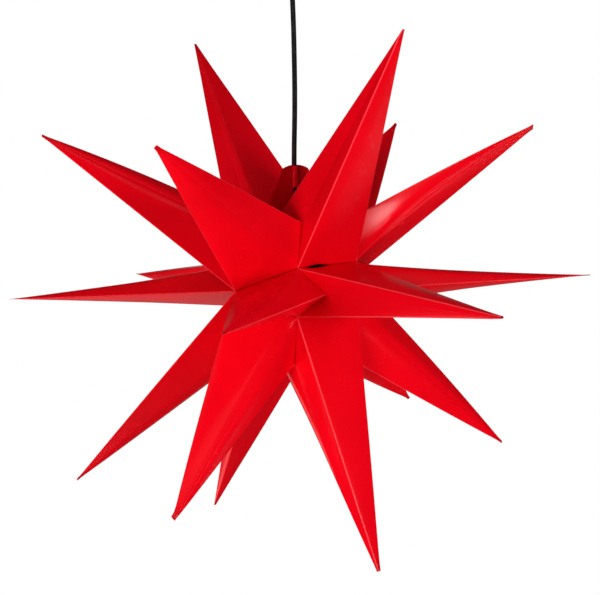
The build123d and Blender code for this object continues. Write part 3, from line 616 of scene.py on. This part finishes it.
def makeLeaf(star, gore, letter):
    allPoints, allQuads, allMarks, allWalls, allTipDarks = [], [], [], [], []
    first = 0
    for points, mark, wall, tipDark in leafFans(star, gore, letter):
        rowCount, columnCount = points.shape[:2]
        normals = np.cross(points[1:, :-1] - points[:-1, :-1], points[:-1, 1:] - points[:-1, :-1])
        inwards = (normals * points[:-1, :-1]).sum() > 0
        allQuads.append(gridQuads(rowCount, columnCount, first, inwards))
        allPoints.append(points.reshape(-1, 3) + starCentre)
        allMarks.append(mark.ravel())
        allWalls.append(wall.ravel())
        allTipDarks.append(tipDark.ravel())
        first += rowCount * columnCount
    name = f"gore{gore + 1}Leaf{letter.upper()}"
    mesh = bpy.data.meshes.new(name)
    mesh.from_pydata(np.concatenate(allPoints), [], np.concatenate(allQuads))
    for label, values in (("crease", allMarks), ("tip", allTipDarks), ("wallShare", allWalls)):
        attribute = mesh.attributes.new(label, "FLOAT", "POINT")
        attribute.data.foreach_set("value", np.concatenate(values).astype(np.float32))
    work = bmesh.new()
    work.from_mesh(mesh)
    bmesh.ops.remove_doubles(work, verts=work.verts, dist=star["weld"])
    work.to_mesh(mesh)
    work.free()
    mesh.polygons.foreach_set("use_smooth", np.ones(len(mesh.polygons), dtype=bool))
    leaf = bpy.data.objects.new(name, mesh)
    bpy.context.scene.collection.objects.link(leaf)
    share = np.empty(len(mesh.vertices), dtype=np.float32)
    mesh.attributes["wallShare"].data.foreach_get("value", share)
    wallGroup = leaf.vertex_groups.new(name="wall")
    for step in np.unique(np.round(share, 2)):  # one call for each weight, not for each vertex
        wallGroup.add(np.flatnonzero(np.round(share, 2) == step).tolist(), float(step), "REPLACE")
    thick = leaf.modifiers.new("sheetWall", "SOLIDIFY")
    thick.thickness = star["wall"]
    thick.offset = -1.0
    thick.vertex_group = "wall"
    thick.thickness_vertex_group = star["unweightedShare"]
    mesh.materials.append(foldedSheet)
    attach(leaf, "star")
    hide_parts(f"gore_{gore + 1}_leaf_{letter}")
    return leaf


leaves = [makeLeaf(sheetStar, gore, letter) for gore in range(len(sheetStar["turns"])) for letter in "ab"]
print("leaves:", len(leaves), "faces:", sum(len(leaf.data.polygons) for leaf in leaves))


# stage

studio = {
    "floorHeight": -2.2,
    "floorRadius": 9.0,
    "floorSides": 96,
    "floorColour": (0.86, 0.86, 0.85),
    "floorRough": 0.9,
    "floorSpecular": 0.1,
    "whiteFrom": (1.0, 2.0),  # metres from the middle over which the floor goes over to plain white
    "plainWhite": 1.0,
    "skyLight": 0.03,
    # what mirror rays see instead of plain white: a dark room with soft bright sides
    "roomGlow": 0.01,
    "glossSides": (
        # way it lies seen from the star, cosines between which it fades in, brightness
        ((-0.710, -0.400, -0.580), (0.93, 0.99), 2.7),  # sweep of the backdrop, low on the left
        ((-0.642, 0.395, -0.657), (0.93, 0.99), 0.25),  # floor behind the star
        ((-0.787, 0.611, -0.090), (0.965, 0.999), 0.55),  # backdrop
        ((0.580, 0.080, 0.810), (0.93, 0.985), 0.6),  # soft light over the camera
    ),
    # lit card at the end of a dark funnel, set for one spot of the star to mirror: the spot and the way
    # to the card, then how far off and how wide from the middle the card and the funnel's mouth are
    "glint": {
        "spot": (0.052, 0.062, 0.067),
        "way": (0.942, 0.196, -0.273),
        "ends": ((0.5, 0.035), (0.2, 0.015)),
        "strength": 26.0,
    },
    "panels": (
        # name, place seen from the star, side, watts
        ("leftPanel", (0.489, -1.030, 0.154), 0.4, 8.0),
        ("rightPanel", (1.136, 0.149, 0.104), 0.4, 7.6),
        ("lowLeftPanel", (-0.415, -0.722, -0.793), 0.4, 6.8),
        ("lowRightPanel", (0.345, 0.920, -0.598), 0.4, 3.5),
        ("underPanel", (0.600, -0.250, -0.950), 0.4, 2.2),
        ("topPanel", (-0.207, 0.198, 1.980), 0.9, 8.2),
        ("topLeftPanel", (-1.015, -0.976, 1.420), 0.9, 2.5),
        ("backPanel", (-1.250, 1.000, -0.400), 1.5, 9.0),
    ),
}


def mathOf(nodes, links, operation, first, second):
    made = nodes.new("ShaderNodeMath")
    made.operation = operation
    links.new(first, made.inputs[0])
    links.new(second, made.inputs[1])
    return made.outputs[0]


def vectorOf(nodes, links, operation, vector, output, second=None):
    made = nodes.new("ShaderNodeVectorMath")
    made.operation = operation
    links.new(vector, made.inputs[0])
    if second is not None:
        made.inputs[1].default_value = second
    return made.outputs[output]


def mixShader(nodes, links, share, first, second):
    mix = nodes.new("ShaderNodeMixShader")
    for socket, value in zip(mix.inputs, (share, first, second)):
        links.new(value, socket)
    return mix.outputs[0]


def glowOf(nodes, strength):
    glow = nodes.new("ShaderNodeEmission")
    glow.inputs["Strength"].default_value = strength
    return glow.outputs[0]


def seenAsBackground(nodes, links):
    path = nodes.new("ShaderNodeLightPath")
    seen = mathOf(nodes, links, "MAXIMUM", path.outputs["Is Camera Ray"], path.outputs["Is Transmission Ray"])
    return seen, path.outputs["Is Glossy Ray"]


def makeSky(look):
    world = bpy.data.worlds.new("whiteStudio")
    bpy.context.scene.world = world
    world.use_nodes = True
    world.cycles.sampling_method = "NONE"
    nodes, links = world.node_tree.nodes, world.node_tree.links
    sky = nodes["Background"]
    plain = nodes.new("ShaderNodeBackground")
    room = nodes.new("ShaderNodeBackground")
    for light in (sky, plain, room):
        light.inputs["Color"].default_value = (1, 1, 1, 1)
    sky.inputs["Strength"].default_value = look["skyLight"]
    plain.inputs["Strength"].default_value = look["plainWhite"]
    direction = nodes.new("ShaderNodeTexCoord").outputs["Generated"]
    glow = None
    for side, fade, brightness in look["glossSides"]:
        # rises from the room's glow to the side's brightness as the ray turns towards the side
        ray = vectorOf(nodes, links, "NORMALIZE", direction, "Vector")
        cosine = vectorOf(nodes, links, "DOT_PRODUCT", ray, "Value", side)
        patch = rangeOf(nodes, links, cosine, look["roomGlow"], brightness, *fade)
        glow = patch if glow is None else mathOf(nodes, links, "MAXIMUM", glow, patch)
    links.new(glow, room.inputs["Strength"])
    background, glossy = seenAsBackground(nodes, links)
    unseen = mixShader(nodes, links, glossy, sky.outputs[0], room.outputs[0])
    chosen = mixShader(nodes, links, background, unseen, plain.outputs[0])
    links.new(chosen, nodes["World Output"].inputs["Surface"])


def makeFloor(look):
    around = np.linspace(0, 2 * np.pi, look["floorSides"], endpoint=False)
    rim = np.stack([np.cos(around), np.sin(around), 0 * around], axis=1) * look["floorRadius"]
    mesh = bpy.data.meshes.new("paleFloor")
    mesh.from_pydata(rim + np.array([0, 0, look["floorHeight"]]), [], [range(len(rim))])
    floor = bpy.data.objects.new("paleFloor", mesh)
    bpy.context.scene.collection.objects.link(floor)
    made, nodes, links, shader, place = nodeFinish("palePaper")
    shader.inputs["Base Color"].default_value = (*look["floorColour"], 1)
    shader.inputs["Roughness"].default_value = look["floorRough"]
    shader.inputs["Specular IOR Level"].default_value = look["floorSpecular"]
    level = vectorOf(nodes, links, "MULTIPLY", place, "Vector", (1, 1, 0))
    away = vectorOf(nodes, links, "LENGTH", level, "Value")
    away = rangeOf(nodes, links, away, 0.0, 1.0, *look["whiteFrom"])
    far = mathOf(nodes, links, "MULTIPLY", away, seenAsBackground(nodes, links)[0])
    chosen = mixShader(nodes, links, far, shader.outputs[0], glowOf(nodes, look["plainWhite"]))
    links.new(chosen, nodes["Material Output"].inputs["Surface"])
    mesh.materials.append(made)
    floor.visible_glossy = False


def makeGlint(glint):
    way = Vector(glint["way"]).normalized()
    aside = way.cross(Vector((0, 0, 1))).normalized()
    spot = Vector(starCentre) + Vector(glint["spot"])
    corners = [spot + way * reach + (aside * x + way.cross(aside) * y) * half
               for reach, half in glint["ends"] for x, y in ((-1, -1), (1, -1), (1, 1), (-1, 1))]
    walls = [(i, (i + 1) % 4, 4 + (i + 1) % 4, 4 + i) for i in range(4)]
    mesh = bpy.data.meshes.new("glintCard")
    mesh.from_pydata(corners, [], [(0, 1, 2, 3), *walls])
    card = bpy.data.objects.new("glintCard", mesh)
    bpy.context.scene.collection.objects.link(card)
    for name, strength in (("glintWhite", glint["strength"]), ("funnelBlack", 0.0)):
        made, nodes, links = nodeFinish(name)[:3]
        links.new(glowOf(nodes, strength), nodes["Material Output"].inputs["Surface"])
        made.cycles.emission_sampling = "NONE"
        mesh.materials.append(made)
    for wall in mesh.polygons[1:]:
        wall.material_index = 1
    card.visible_camera = card.visible_diffuse = card.visible_shadow = card.visible_transmission = False


def hangPanels(panels):
    for name, place, side, watts in panels:
        light = bpy.data.lights.new(name, "AREA")
        light.shape = "SQUARE"
        light.size = side
        light.energy = watts
        lamp = bpy.data.objects.new(name, light)
        bpy.context.scene.collection.objects.link(lamp)
        lamp.location = Vector(starCentre) + Vector(place)
        lamp.rotation_mode = "QUATERNION"
        lamp.rotation_quaternion = (-Vector(place)).to_track_quat("-Z", "Y")
        lamp.visible_camera = lamp.visible_glossy = False


bpy.context.scene.view_settings.view_transform = "Standard"
makeSky(studio)
makeFloor(studio)
makeGlint(studio["glint"])
hangPanels(studio["panels"])
print("studio lit")
